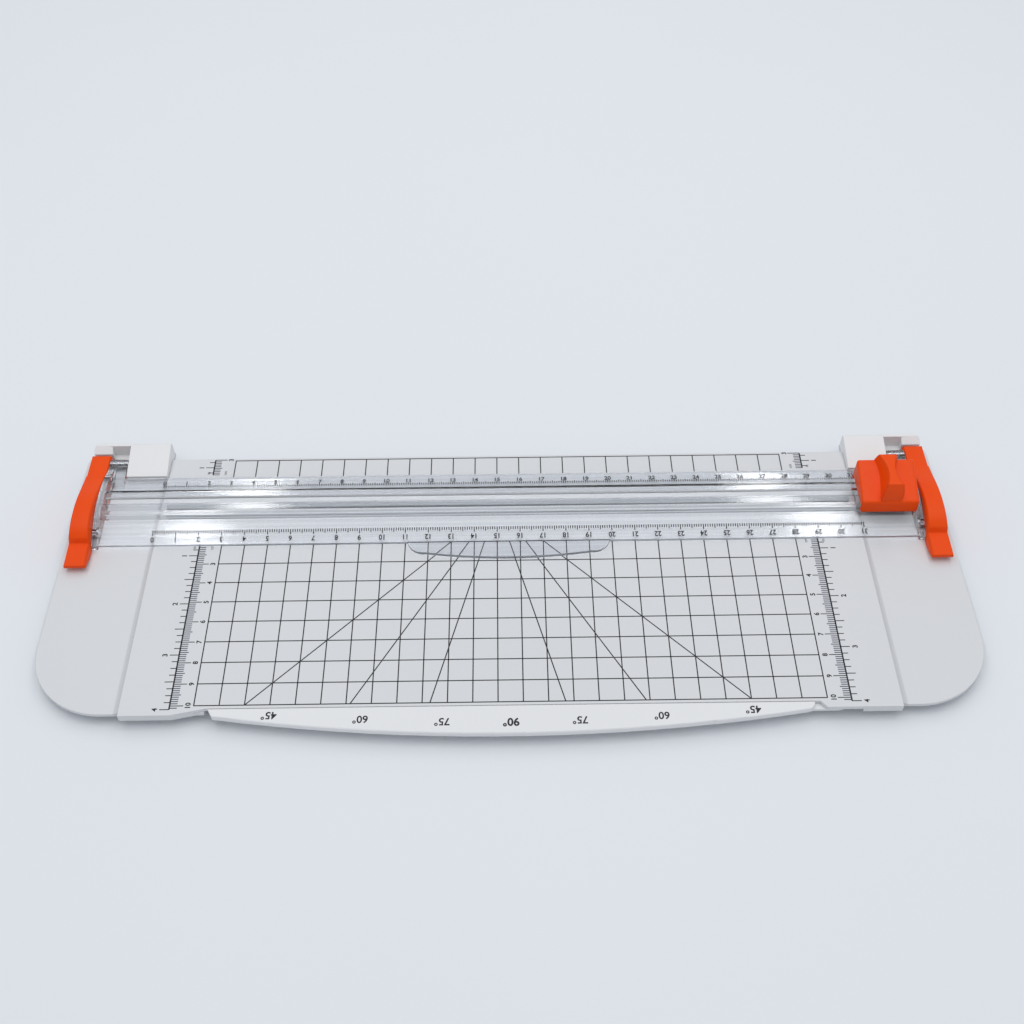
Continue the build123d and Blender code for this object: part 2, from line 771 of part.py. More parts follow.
with BuildPart() as holder_pins:
    with BuildSketch(facing(2.8)):
        with Locations(*[(park_x + side * holder_pin_x, holder_pin_z) for side in (-1, 1)]):
            Circle(holder_pin_radius)
    extrude(amount=5.6)
holder_pins.part.label = "holder_pins"
export_step(holder_pins.part, "parts/holder_pins.step")

with BuildPart() as blade_axle:
    with BuildSketch(facing(1.5)):
        with Locations((park_x, hub_z)):
            Circle(axle_radius)
    extrude(amount=3.0)
blade_axle.part.label = "blade_axle"
export_step(blade_axle.part, "parts/blade_axle.step")

# --- blade: a disc ground to an edge from both sides, with three index holes ---
with BuildPart() as rotary_blade:
    with BuildSketch(facing(0)) as blade_face:
        with Locations((park_x, hub_z)):
            Circle(blade_radius)
            Circle(axle_radius + running, mode=Mode.SUBTRACT)
            with PolarLocations(3.6, 3):
                Circle(0.45, mode=Mode.SUBTRACT)
    extrude(amount=blade_thick / 2, both=True)
    rim = rotary_blade.edges().filter_by(GeomType.CIRCLE).filter_by(lambda e: e.radius > blade_radius - 0.1)
    chamfer(rim, length=0.14, length2=0.8)
rotary_blade.part.label = "rotary_blade"
export_step(rotary_blade.part, "parts/rotary_blade.step")
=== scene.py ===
# %% [markdown]
# # A rotary paper trimmer, dressed piece by piece
# The trimmer is a flat white board. A clear rail is hinged at its rear, an orange knob with a round blade
# slides along the rail, and a bowed arm swings out in front. The moulded shapes are already modelled and
# packed, so this file adds what a mould can't give: the printed rulers and grids, the finish of each
# plastic and metal, the light and the camera. Everything is in metres, +X to the user's right, +Y to the
# hinges and +Z up.

import math

import bmesh
import bpy
import numpy as np
from mathutils import Matrix, Vector


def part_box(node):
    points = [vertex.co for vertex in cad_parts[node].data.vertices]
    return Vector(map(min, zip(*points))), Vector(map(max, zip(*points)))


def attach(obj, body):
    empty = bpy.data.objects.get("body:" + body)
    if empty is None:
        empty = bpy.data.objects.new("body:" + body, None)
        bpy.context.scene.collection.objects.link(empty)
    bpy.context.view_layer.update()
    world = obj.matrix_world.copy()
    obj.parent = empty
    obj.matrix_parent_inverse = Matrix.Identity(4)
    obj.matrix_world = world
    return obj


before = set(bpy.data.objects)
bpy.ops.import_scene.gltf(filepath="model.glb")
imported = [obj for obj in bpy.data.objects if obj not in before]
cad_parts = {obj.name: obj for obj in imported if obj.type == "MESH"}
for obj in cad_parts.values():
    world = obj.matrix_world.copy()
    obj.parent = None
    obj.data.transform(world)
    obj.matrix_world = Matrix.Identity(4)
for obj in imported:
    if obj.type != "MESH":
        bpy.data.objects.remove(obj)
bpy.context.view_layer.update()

# %% [markdown]
# ## Where things are
# All the printing is measured from the cut line, as it is on the real board, where both rulers count from
# the blade. The strip that the blade runs on gives that line. A millimetre has its own name here, because
# print sizes are easier to read in millimetres.

# %% Cut line and table height
MM = 0.001
strip_low, strip_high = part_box("cutting_strip")
cut_line = (strip_low.y + strip_high.y) / 2
table_top = strip_high.z
print("cut line y", round(cut_line, 4), "table z", round(table_top, 4))

# %% [markdown]
# ## Shader sums written as Python
# A material is a graph of nodes. Written out by hand, each plus or times takes three lines, so a small
# class wraps a socket and adds the Math node when Python meets an operator. The reflected forms let a plain
# number stand on the left, as in 1 - mask. One method adds every other kind of node.


# %% Signal and Tree
class Signal:
    """A number, colour or vector inside a material. Arithmetic on it adds Math nodes."""

    def __init__(self, tree, socket):
        self.tree = tree
        self.socket = socket

    def math(self, operation, *values):
        return self.tree.node("ShaderNodeMath", {"operation": operation}, dict(enumerate(values)))

    def __add__(self, other):
        return self.math("ADD", self, other)

    __radd__ = __add__

    def __sub__(self, other):
        return self.math("SUBTRACT", self, other)

    def __rsub__(self, other):
        return self.math("SUBTRACT", other, self)

    def __mul__(self, other):
        return self.math("MULTIPLY", self, other)

    __rmul__ = __mul__

    def __abs__(self):
        return self.math("ABSOLUTE", self)


class Tree:
    """The nodes of one material."""

    def __init__(self, material):
        self.nodes = material.node_tree.nodes
        self.links = material.node_tree.links
        self.nodes.clear()
        self.place = self.node("ShaderNodeTexCoord", output="Object")

    def node(self, kind, settings=None, sockets=None, output=0):
        """Adds a node: its type, its settings, and a value or a Signal for each socket. Gives one output."""
        made = self.nodes.new(kind)
        for name, value in (settings or {}).items():
            setattr(made, name, value)
        for name, value in (sockets or {}).items():
            if isinstance(value, Signal):
                self.links.new(value.socket, made.inputs[name])
            else:
                made.inputs[name].default_value = value
        return Signal(self, made.outputs[output])

    def along(self, axis):
        """How far a point is along X, Y or Z, in metres."""
        return self.node("ShaderNodeSeparateXYZ", None, {0: self.place}, axis)

    def noise(self, scale, detail, stretch=(1, 1, 1)):
        """Cloudy numbers about 0.5. scale is in lumps a metre, and stretch multiplies it along x, y and z."""
        place = self.node("ShaderNodeMapping", None, {"Vector": self.place, "Scale": stretch})
        return self.node("ShaderNodeTexNoise", None, {"Vector": place, "Scale": scale, "Detail": detail})

    def step(self, value, low, high):
        """Rises smoothly from 0 to 1 as value goes from low to high."""
        sockets = {"Value": value, "From Min": low, "From Max": high}
        return self.node("ShaderNodeMapRange", {"interpolation_type": "SMOOTHSTEP"}, sockets)

    def mix(self, share, first, second):
        """The first colour where share is 0, and the second where it is 1."""
        first, second = (c if isinstance(c, Signal) else (*c, 1.0) for c in (first, second))
        return self.node("ShaderNodeMix", {"data_type": "RGBA"}, {0: share, 6: first, 7: second}, 2)

    def relief(self, height, deep, round_edge=0.0):
        """A normal for a surface whose height, from 0 to 1, stands for deep metres, with eased edges."""
        sockets = {"Height": height, "Distance": deep, "Strength": 1.0}
        if round_edge:
            sockets["Normal"] = self.node("ShaderNodeBevel", {"samples": 6}, {"Radius": round_edge})
        return self.node("ShaderNodeBump", None, sockets)


# %% [markdown]
# ## One way to make a finish
# Every finish here is one Principled shader. What is the same all over, such as the index of refraction, is
# set on the shader itself. What changes over the surface, such as colour and roughness, comes from a short
# function that gets the material's tree and gives back the sockets that it drives. Clear plastic also gets
# a plain see-through shader for the rays that go to a lamp.


# %% Finish and dress
LAMP_TINT = (0.87, 0.88, 0.90, 1.0)


def finish(name, constants, paint, lets_lamps_through=False):
    """A material: constants are set on its shader, and paint(tree) gives Signals for the rest."""
    material = bpy.data.materials.new(name)
    material.use_nodes = True
    tree = Tree(material)
    surface = tree.node("ShaderNodeBsdfPrincipled", None, {**constants, **paint(tree)})
    if lets_lamps_through:
        shadow_ray = tree.node("ShaderNodeLightPath", output="Is Shadow Ray")
        clear = tree.node("ShaderNodeBsdfTransparent", None, {"Color": LAMP_TINT})
        surface = tree.node("ShaderNodeMixShader", None, {0: shadow_ray, 1: surface, 2: clear})
    end = tree.nodes.new("ShaderNodeOutputMaterial")
    tree.links.new(surface.socket, end.inputs["Surface"])
    return material


def dress(material, *nodes):
    """Puts a finish on modelled parts."""
    for name in nodes:
        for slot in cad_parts[name].material_slots:
            slot.material = material
    print(material.name, "on", ", ".join(nodes))


# %% [markdown]
# ## White moulded plastic
# The board, the hinge blocks and the arm are white ABS, moulded in a lightly spark-eroded tool. Close up
# that is a satin grain a fraction of a millimetre wide. Over the years paper polishes the top in long faint
# streaks, and hands leave the white a little uneven. Three noises of very different scale give the grain,
# the polish and the clouds. On the board a soft darker band is painted either side, in the hollow slope
# between table and wings: painted shade, where that slope would lie in shadow. A bevel node eases the edges
# that the model has sharp, as the tool's edges are eased.


# %% White plastic
# Colour and place of the painted shade: a soft darker band in the hollow slope between table and wings.
SLOPE_SHADE = (0.28, 0.29, 0.31)
FLECK = (0.45, 0.45, 0.44)
SLOPE_SHADE_START, SLOPE_SHADE_END = 154.2 * MM, 157.4 * MM
SLOPE_SHADE_RISE, SLOPE_SHADE_FADE = 0.5 * MM, 1.0 * MM


def white_plastic(name, colour, gloss, ease, painted_shade=False):
    """A white finish. gloss is its roughness, ease the radius of its edges, and the flag paints two shade
    bands.
    """

    def paint(tree):
        clouds = tree.noise(9.0, 3.0)
        grain = tree.noise(2600.0, 1.0)
        polish = tree.noise(14.0, 4.0, (1, 30, 1))
        dull = tuple(c * 0.955 for c in colour)
        speckle = tree.step(tree.noise(900.0, 1.0), 0.72, 0.80)
        body = tree.mix(clouds * 0.8, colour, dull)
        # Painted shade: darker where the slope between table and wings would lie in shadow.
        if painted_shade:
            x = abs(tree.along("X"))
            rise = tree.step(x, SLOPE_SHADE_START, SLOPE_SHADE_START + SLOPE_SHADE_RISE)
            shade_band = rise * (1 - tree.step(x, SLOPE_SHADE_END - SLOPE_SHADE_FADE, SLOPE_SHADE_END))
            body = tree.mix(shade_band * 0.18, body, SLOPE_SHADE)
        return {
            "Base Color": tree.mix(speckle * 0.12, body, FLECK),
            "Roughness": gloss + (polish - 0.5) * 0.16 + (grain - 0.5) * 0.08,
            "Normal": tree.relief(grain, 0.004 * MM, ease),
        }

    return finish(name, {"IOR": 1.53, "Specular IOR Level": 0.42}, paint)


board_white = white_plastic("board_white_abs", (0.735, 0.745, 0.762), 0.46, 0.35 * MM, painted_shade=True)
block_white = white_plastic("hinge_block_white_abs", (0.85, 0.85, 0.855), 0.38, 0.30 * MM)
arm_white = white_plastic("arm_white_abs", (0.84, 0.846, 0.858), 0.44, 0.30 * MM)
nylon_white = white_plastic("slider_white_nylon", (0.70, 0.70, 0.69), 0.50, 0.15 * MM)
dress(board_white, "base_shell")
dress(block_white, "left_hinge_block", "right_hinge_block")
dress(arm_white, "swing_ruler_arm")
dress(nylon_white, "slider_frame", "slider_shoe")

# %% [markdown]
# ## The cutting strip
# A strip of soft grey plastic lies flush in the table, and the blade runs in its groove. Every cut leaves a
# hair's breadth of a scratch along it. Noise drawn out along x gives those scratches, and they are kept to
# the middle of the strip by how far a point lies from the cut line.


# %% Cutting strip
CUTS_THICKEST, CUTS_END = 0.35 * MM, 1.6 * MM


def strip_paint(tree):
    from_cut = abs(tree.along("Y") - cut_line)
    near = 1 - tree.step(from_cut, CUTS_THICKEST, CUTS_END)
    cuts = tree.step(tree.noise(60.0, 4.0, (0.3, 120, 1)), 0.52, 0.66) * near
    body = tree.mix(tree.noise(30.0, 3.0), (0.50, 0.52, 0.54), (0.56, 0.58, 0.60))
    return {
        "Base Color": tree.mix(cuts * 0.7, body, (0.26, 0.27, 0.29)),
        "Roughness": 0.55 + cuts * 0.2,
        "Normal": tree.relief(1 - cuts, 0.03 * MM),
    }


dress(finish("cutting_strip_grey", {"IOR": 1.5}, strip_paint), "cutting_strip")

# %% [markdown]
# ## Clear rail
# The rail is one moulding of clear polystyrene, so what it shows is mostly the white board beneath, bent
# and streaked by its own section. Real refraction does that by itself: full transmission and an index of
# 1.59. The tool's polishing strokes run along the rail, and years of the knob sliding on its roof leave
# fine hairlines the same way. The upright face of the front rim is where the tool closed, and it is left
# frosted, rougher than the rest; its pale bluish white colour is a painted highlight along the front edge.
# A path tracer would leave the board under solid glass in the dark, so rays that go to a lamp pass
# through the see-through shader.


# %% Clear rail
RIM_FRONT, RIM_BACK = -20.45 * MM, -20.35 * MM
RIM_LOW, RIM_LOW_FULL = 0.32 * MM, 0.38 * MM
RIM_HIGH_FULL, RIM_HIGH = 1.58 * MM, 1.72 * MM
# Pale bluish white of the front rim face: a painted highlight.
RIM_HIGHLIGHT = (0.84, 0.89, 0.97)


def rail_paint(tree):
    strokes = tree.noise(24.0, 5.0, (0.10, 45, 45))
    waves = tree.noise(16.0, 1.0, (0.30, 10, 10))
    hairlines = tree.step(tree.noise(75.0, 3.0, (0.08, 60, 60)), 0.56, 0.68)
    ahead = 1 - tree.step(tree.along("Y") - cut_line, RIM_FRONT, RIM_BACK)
    over_table = tree.along("Z") - table_top
    over_lip = tree.step(over_table, RIM_LOW, RIM_LOW_FULL)
    under_slope = 1 - tree.step(over_table, RIM_HIGH_FULL, RIM_HIGH)
    rim = ahead * (over_lip * under_slope)
    body = tree.mix(tree.step(strokes, 0.35, 0.70), (0.86, 0.87, 0.89), (0.72, 0.74, 0.77))
    return {
        # The rim face takes the painted highlight colour; elsewhere the glass has its own streaked tint.
        "Base Color": tree.mix(rim, body, RIM_HIGHLIGHT),
        "Roughness": 0.02 + hairlines * 0.12 + rim * 0.5,
        "Normal": tree.relief(waves + strokes * 0.12, 0.30 * MM),
    }


rail_clear = finish("rail_clear_styrene", {"IOR": 1.59, "Transmission Weight": 1.0}, rail_paint, True)
dress(rail_clear, "rail_guard")

# %% [markdown]
# ## Orange knob and grips
# The parts that a hand takes hold of are orange ABS with a satin gloss. Its colour is deep rather than
# painted on: it goes to red in the shade, so the base is a saturated orange with a little variation from
# the flow of the plastic in the tool. Fingers polish the high places, and a grain finer than the board's
# keeps the highlight soft.


# %% Orange plastic
def orange_paint(tree):
    flow = tree.noise(55.0, 3.0, (1, 0.4, 1))
    grain = tree.noise(3200.0, 1.0)
    rubbed = tree.noise(240.0, 3.0)
    return {
        "Base Color": tree.mix(flow, (0.96, 0.092, 0.003), (0.86, 0.064, 0.002)),
        "Roughness": 0.34 + (rubbed - 0.5) * 0.18 + (grain - 0.5) * 0.08,
        "Normal": tree.relief(grain, 0.003 * MM, 0.7 * MM),
    }


orange_plastic = finish("orange_abs", {"IOR": 1.53, "Specular IOR Level": 0.15}, orange_paint)
dress(orange_plastic, "cutter_knob", "left_end_grip", "right_end_grip")

# %% [markdown]
# ## Steel parts
# The blade is ground, the pins are turned, the screws are zinc plated and the springs are drawn wire. All
# are metals, and what tells them apart is the lie of their fine marks and how clean they are. The blade's
# marks are rings about its axle, so its noise reads the distance from the axle, and the ground rim is
# brighter and smoother.


# %% Steels
GRIND_START, GRIND_FULL = 5.6 * MM, 5.8 * MM


def steel(name, colour, gloss, stretch, ease):
    """A metal finish. stretch gives the lie of its marks, and ease is the radius of its edges."""

    def paint(tree):
        marks = tree.noise(320.0, 3.0, stretch)
        stain = tree.noise(160.0, 2.0)
        dark = tuple(c * 0.72 for c in colour)
        return {
            "Base Color": tree.mix(tree.step(stain, 0.45, 0.75), colour, dark),
            "Roughness": gloss + (marks - 0.5) * 0.22,
            "Normal": tree.relief(marks, 0.006 * MM, ease),
        }

    return finish(name, {"Metallic": 1.0}, paint)


turned = steel("pin_turned_steel", (0.80, 0.81, 0.82), 0.26, (12, 1, 1), 0.1 * MM)
dress(turned, "left_hinge_pin", "right_hinge_pin")
cross = steel("pin_cross_steel", (0.62, 0.63, 0.65), 0.24, (1, 12, 1), 0.08 * MM)
dress(cross, "holder_pins", "blade_axle")
zinc = steel("screw_zinc_plate", (0.56, 0.58, 0.62), 0.34, (1, 1, 6), 0.12 * MM)
dress(zinc, "hinge_block_screws", "arm_pivot_washer", "arm_pivot_screw", "grip_screws", "slider_screws")
wire = steel("spring_drawn_wire", (0.50, 0.51, 0.53), 0.30, (4, 4, 1), 0.0)
dress(wire, "front_press_spring", "rear_press_spring")

blade_low, blade_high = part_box("rotary_blade")
hub = (blade_low + blade_high) / 2


def blade_paint(tree):
    apart = tree.node("ShaderNodeVectorMath", {"operation": "SUBTRACT"}, {0: tree.place, 1: hub})
    radius = tree.node("ShaderNodeVectorMath", {"operation": "LENGTH"}, {0: apart}, "Value")
    sockets = {"W": radius, "Scale": 9000.0, "Detail": 3.0}
    rings = tree.node("ShaderNodeTexNoise", {"noise_dimensions": "1D"}, sockets)
    ground = tree.step(radius, GRIND_START, GRIND_FULL)
    return {
        "Base Color": tree.mix(ground, (0.47, 0.48, 0.50), (0.74, 0.75, 0.77)),
        "Roughness": 0.30 - ground * 0.12 + (rings - 0.5) * 0.16,
        "Normal": tree.relief(rings, 0.003 * MM),
    }


dress(finish("blade_ground_steel", {"Metallic": 1.0}, blade_paint), "rotary_blade")

# %% [markdown]
# ## Grey holder and rubber feet
# The blade holder is dark grey plastic and is mostly inside the rail. The feet are grey-black rubber,
# moulded matt, and their undersides pick up dust from the desk, which shows as pale specks near z = 0.


# %% Holder and feet
DUSTY_UP_TO, CLEAN_FROM = 0.1 * MM, 0.9 * MM


def holder_paint(tree):
    flow = tree.noise(120.0, 3.0)
    grain = tree.noise(2800.0, 1.0)
    return {
        "Base Color": tree.mix(flow, (0.072, 0.075, 0.082), (0.105, 0.108, 0.115)),
        "Roughness": 0.48 + (grain - 0.5) * 0.15,
        "Normal": tree.relief(grain, 0.004 * MM, 0.12 * MM),
    }


def foot_paint(tree):
    low = 1 - tree.step(tree.along("Z"), DUSTY_UP_TO, CLEAN_FROM)
    dust = tree.step(tree.noise(1500.0, 2.0), 0.56, 0.70) * (low * 0.6 + 0.1)
    grain = tree.noise(2200.0, 2.0)
    return {
        "Base Color": tree.mix(dust, (0.028, 0.028, 0.030), (0.30, 0.29, 0.27)),
        "Roughness": 0.82 + (grain - 0.5) * 0.2,
        "Normal": tree.relief(grain, 0.02 * MM, 0.2 * MM),
    }


dress(finish("holder_grey_plastic", {"IOR": 1.5}, holder_paint), "blade_holder")
dress(finish("foot_rubber", {"IOR": 1.5, "Specular IOR Level": 0.3}, foot_paint), "rubber_feet")

# %% [markdown]
# ## Printing ink
# The grids and rulers are pad-printed. Ink lies on the plastic a few hundredths of a millimetre thick, a
# little thinner where the pad lifted, so its black is never quite even. The millimetres of the side rulers
# are printed in a lighter ink.


# %% Inks
def ink(name, colour, thin):
    """An ink that goes from colour to thin where there is less of it."""

    def paint(tree):
        patch = tree.noise(420.0, 3.0)
        starved = tree.step(tree.noise(5200.0, 1.0), 0.60, 0.78)
        return {
            "Base Color": tree.mix(patch * 0.5 + starved * 0.25, colour, thin),
            "Roughness": 0.52 + (patch - 0.5) * 0.2,
            "Normal": tree.relief(starved, 0.004 * MM),
        }

    return finish(name, {"IOR": 1.48, "Specular IOR Level": 0.35}, paint)


black_ink = ink("ink_black", (0.012, 0.013, 0.016), (0.045, 0.048, 0.055))
slate_ink = ink("ink_slate", (0.10, 0.11, 0.15), (0.17, 0.18, 0.23))

# %% [markdown]
# ## Lines as thin bars
# A printed line could be a dark stripe in the board's colour, but a stripe half a millimetre wide on a
# board nearly 400 mm long needs an enormous picture to stay sharp. So each line is a real layer of ink: a
# flat bar with six faces. All bars of one print are worked out together as arrays, and laid on the surface
# that they are on.


# %% Bars
BAR_CORNERS = 8
BAR_FACES = np.array([[3, 2, 1, 0], [4, 5, 6, 7], [0, 1, 5, 4], [1, 2, 6, 5], [2, 3, 7, 6], [3, 0, 4, 7]])


def bars(rows):
    """Flat bars from rows of x, y, length, width and angle, in millimetres from the middle and the cut line.

    A corner is the bar's centre, plus or minus half the length along (cos a, sin a), plus or minus half the
    width along (-sin a, cos a). The third coordinate is 0 under the ink and 1 on top of it.
    """
    x, y, length, width, angle = np.array(rows, float).T
    along = np.stack([np.cos(angle), np.sin(angle)], -1) * length[:, None] / 2
    across = np.stack([-np.sin(angle), np.cos(angle)], -1) * width[:, None] / 2
    middle = np.stack([x, y], -1)
    near, far = middle - along, middle + along
    flat = np.stack([near - across, far - across, far + across, near + across], 1)
    low = np.concatenate([flat, np.zeros((*flat.shape[:2], 1))], 2)
    high = np.concatenate([flat, np.ones((*flat.shape[:2], 1))], 2)
    points = np.concatenate([low, high], 1).reshape(-1, 3)
    first_corners = BAR_CORNERS * np.arange(len(flat))
    faces = (BAR_FACES[None] + first_corners[:, None, None]).reshape(-1, 4)
    return points, faces.tolist()


def line(x0, y0, x1, y1, width):
    """The row of a bar from one point to another: its middle, length, width and direction."""
    length, angle = math.hypot(x1 - x0, y1 - y0), math.atan2(y1 - y0, x1 - x0)
    return (x0 + x1) / 2, (y0 + y1) / 2, length, width, angle


# %% [markdown]
# ## Figures as thin letters
# The figures come from a text object, which is turned into a mesh once for each different label. Its two
# faces and its sides are separate when it arrives, so doubles are merged and the normals worked out again.
# After that it is only points to be scaled, turned and set down, many times over.

# %% Figures
DIGIT_HIGH = 0.729
glyphs = {}


def glyph(text, bold):
    """Points and faces of a label, its digits 1 high and centred on the origin, and 0 to 1 thick."""
    if (text, bold) in glyphs:
        return glyphs[text, bold]
    curve = bpy.data.curves.new("label", "FONT")
    curve.body = text
    curve.align_x = "CENTER"
    curve.extrude = 0.5
    curve.offset = bold
    curve.resolution_u = 3
    letter = bpy.data.objects.new("label", curve)
    bpy.context.scene.collection.objects.link(letter)
    bpy.context.view_layer.update()
    evaluated = letter.evaluated_get(bpy.context.evaluated_depsgraph_get())
    solid = bpy.data.meshes.new_from_object(evaluated)
    bpy.data.objects.remove(letter)
    bpy.data.curves.remove(curve)
    welded = bmesh.new()
    welded.from_mesh(solid)
    bmesh.ops.remove_doubles(welded, verts=welded.verts, dist=1e-4)
    bmesh.ops.recalc_face_normals(welded, faces=welded.faces)
    points = np.array([v.co for v in welded.verts])
    faces = [[v.index for v in f.verts] for f in welded.faces]
    welded.free()
    bpy.data.meshes.remove(solid)
    points[:, :2] /= DIGIT_HIGH
    points[:, 1] -= 0.5
    points[:, 2] += 0.5
    glyphs[text, bold] = points, faces
    return points, faces


def figures(rows):
    """Labels from rows of text, x, y, height, turn and boldness.

    A point is scaled by the height, turned by the turn about the label's middle, and moved to x and y, in
    millimetres from the middle and the cut line.
    """
    parts = []
    for text, x, y, height, turn, bold in rows:
        points, faces = glyph(text, bold)
        c, s = math.cos(turn), math.sin(turn)
        placed = points.copy()
        placed[:, 0] = x + height * (c * points[:, 0] - s * points[:, 1])
        placed[:, 1] = y + height * (s * points[:, 0] + c * points[:, 1])
        parts.append((placed, faces))
    return together(parts)


def together(parts):
    """One set of points and faces from several: each part's face numbers go up by the points before it."""
    points = np.concatenate([p for p, _ in parts])
    starts = np.cumsum([0] + [len(p) for p, _ in parts[:-1]])
    faces = [[i + start for i in face] for (_, part), start in zip(parts, starts) for face in part]
    return points, faces


# %% [markdown]
# ## Laying ink on a surface
# Most of the printing lies on the flat table, but the rail's two rulers lie on its sloping front and on its
# rear strip. A surface is given as a height that depends on y, in straight runs between a few known points,
# and every corner of the ink takes the height of the surface under it. The ink's underside is sunk a
# hundredth of a millimetre, so that no light gets in under it.

# %% Surfaces
INK_THICK = 0.035
INK_SUNK = 0.01
table = ((-200.0, 0.0), (200.0, 0.0))
rail_front_slope = ((-20.5, 1.6), (-9.3, 5.2))
rail_rear_strip = ((10.4, 2.0), (18.0, 1.7))


def printed(name, points, faces, surface, body, material, thick=INK_THICK):
    """A print: z is the table's height, plus the surface's height at y, plus the ink's own thickness."""
    along_y, heights = zip(*surface)
    z = np.interp(points[:, 1], along_y, heights) + points[:, 2] * (thick + INK_SUNK) - INK_SUNK
    placed = np.stack([points[:, 0], points[:, 1], z], -1) * MM + (0.0, cut_line, table_top)
    mesh = bpy.data.meshes.new(name)
    mesh.from_pydata(placed.tolist(), [], faces)
    mesh.materials.append(material)
    piece = bpy.data.objects.new(name, mesh)
    bpy.context.scene.collection.objects.link(piece)
    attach(piece, body)
    print(name, len(mesh.polygons), "faces")


# %% [markdown]
# ## The grids
# In front of the rail is a grid of square centimetres, from 2 to 10 cm from the cut, so that paper can be
# lined up at a glance. Behind the rail is one more row. Six slanted lines fan out from under the rail for
# cuts at 45, 60 and 75 degrees.

# %% Front grid, rear grid and angle fan
GRID_LINE = 0.46
RULER_X = 134.5
NEAR_CUT, GRID_FRONT = -20.0, -100.0
REAR_START, REAR_END = 18.4, 29.4
ROW_END = 125.15
columns = np.arange(-125.0, 126.0, 10.0)
grid = [line(x, NEAR_CUT, x, GRID_FRONT, GRID_LINE) for x in columns]
grid += [line(-ROW_END, y, ROW_END, y, GRID_LINE) for y in np.arange(-30.0, -101.0, -10.0)]
grid += [line(-ROW_END, NEAR_CUT, RULER_X, NEAR_CUT, GRID_LINE)]
printed("front_grid_print", *bars(grid), table, "base", black_ink)

rear = [line(x, REAR_START, x, REAR_END, GRID_LINE) for x in columns]
rear += [line(-ROW_END, REAR_END, ROW_END, REAR_END, GRID_LINE)]
printed("rear_grid_print", *bars(rear), table, "base", black_ink)

# The x of each slanted line at the rail and at the arm. Its ink is a little thicker, so that it lies over the
# ink of the grid.
FAN_X = ((-25.0, -105.0), (15.0, 95.0), (-17.2, -63.4), (7.3, 53.5), (-10.5, -31.9), (0.3, 21.7))
FAN_THICK = INK_THICK + 0.006
slants = [line(at_rail, NEAR_CUT, at_arm, GRID_FRONT, GRID_LINE) for at_rail, at_arm in FAN_X]
printed("angle_fan_print", *bars(slants), table, "base", black_ink, FAN_THICK)

# %% [markdown]
# ## The side rulers
# Each side ruler is a heavy line that runs away from the cut. Millimetres are on the side that faces the
# grid, in the lighter ink, and eighths of an inch are outside. Every fifth millimetre and every half inch
# is longer, and the figures read up the page. One function makes both rulers, because the right one is the
# left one in a mirror, with figures that still read the same way.


# %% Side rulers
INCH = 25.4
UP = math.pi / 2
EIGHTHS = 8
HEAVY_LINE, BLACK_LINE, SLATE_LINE = 0.60, 0.38, 0.46
CM_MARK, HALF_CM_MARK, MM_MARK = 5.4, 3.7, 3.0
HALF_INCH_MARK, EIGHTH_MARK = 3.8, 2.5
CM_FIGURE_OUT, INCH_FIGURE_OUT = 7.1, 5.8
CM_UNIT_OUT, INCH_UNIT_OUT = 5.4, 2.2
SIDE_FIGURE, SIDE_BOLD, UNIT_HIGH = 2.1, 0.03, 1.5
UNIT_PLACE = 20
SIDE_SPANS = ((-20.0, -101.6), (21.0, 30.0))


def side_ruler(side, first, last):
    """Bars and figures of one ruler from first to last, in millimetres from the cut, both negative in front.

    side is -1 for the left and 1 for the right. A mark n from the cut lies at y = way * n. The unit's name
    takes the place of the figure at 20 mm.
    """
    way = 1 if first > 0 else -1
    low, high = sorted((abs(first), abs(last)))
    x = side * RULER_X
    black = [line(x, way * low, x, way * high, HEAVY_LINE)]
    slate = []
    labels = []
    for n in range(math.ceil(low), math.floor(high) + 1):
        y = way * n
        if n % 10:
            mark = MM_MARK if n % 5 else HALF_CM_MARK
            slate.append(line(x, y, x - side * mark, y, SLATE_LINE))
            continue
        black.append(line(x, y, x - side * CM_MARK, y, BLACK_LINE))
        if n != UNIT_PLACE:
            labels.append((str(n // 10), x - side * CM_FIGURE_OUT, y, SIDE_FIGURE, UP, SIDE_BOLD))
    last_eighth = math.floor(high / INCH * EIGHTHS + 0.01)
    for n in range(math.ceil(low / INCH * EIGHTHS), last_eighth + 1):
        y = way * n * INCH / EIGHTHS
        mark = EIGHTH_MARK if n % (EIGHTHS // 2) else HALF_INCH_MARK
        black.append(line(x, y, x + side * mark, y, BLACK_LINE))
        if n % EIGHTHS == 0:
            labels.append((str(n // EIGHTHS), x + side * INCH_FIGURE_OUT, y, SIDE_FIGURE, UP, SIDE_BOLD))
    near = way * (low + 1.0)
    labels.append(("cm", x - side * CM_UNIT_OUT, near, UNIT_HIGH, UP, 0.0))
    labels.append(("in", x + side * INCH_UNIT_OUT, near, UNIT_HIGH, UP, 0.0))
    return black, slate, labels


rulers = [side_ruler(side, *span) for side in (-1, 1) for span in SIDE_SPANS]
black_rows, slate_rows, label_rows = (sum(rows, []) for rows in zip(*rulers))
printed("side_ruler_lines", *bars(black_rows), table, "base", black_ink)
printed("side_ruler_millimetres", *bars(slate_rows), table, "base", slate_ink)
printed("side_ruler_figures", *figures(label_rows), table, "base", black_ink)

# %% [markdown]
# ## The rail's rulers
# The rail carries two rulers 31 cm long. The rear one reads the right way up. The front one is printed the
# other way round, so that its figures stand on their heads to someone at the front and read right from
# behind. Both are on top of the clear plastic, so they ride on the rail when it lifts.

# %% Rail rulers
RAIL_RULER = 310
RAIL_ZERO = -155.0
RAIL_LINE, RAIL_FIGURE = 0.42, 2.2


